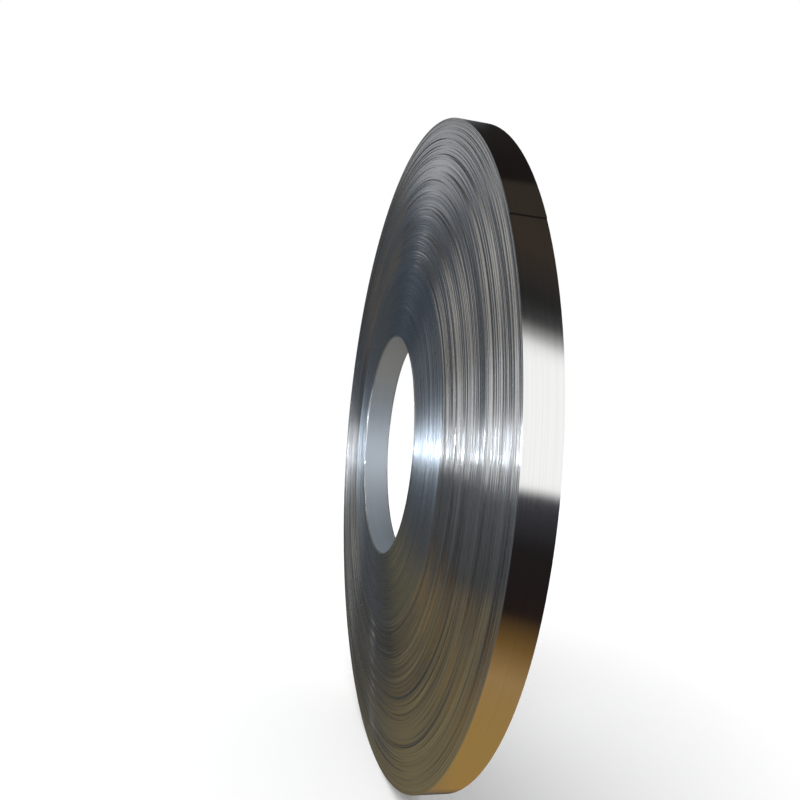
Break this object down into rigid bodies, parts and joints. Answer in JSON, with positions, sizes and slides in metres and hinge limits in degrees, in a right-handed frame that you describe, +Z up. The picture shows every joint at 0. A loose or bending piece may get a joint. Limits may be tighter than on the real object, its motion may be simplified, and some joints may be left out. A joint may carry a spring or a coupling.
{
  "type": "steel strip coil",
  "caption": "Narrow slit steel strip wound in a tight coil with an open bore, its turns crept out to one side, standing on its rim.",
  "frame": {"origin": "on the floor under the coil's axis, halfway between its two ends", "axes": "+Y along the coil's axis, the way the inner turns have crept; +Z up; +X level, away from the side the picture shows"},
  "size_m": [0.5797, 0.0368, 0.58],
  "materials": {
    "strip_steel": "bright rolled strip, mirror bright on the outer turn, fine slit edges on the ends"
  },
  "bodies": {
    "root": {"strip_coil": "strip_steel"}
  },
  "joints": []
}
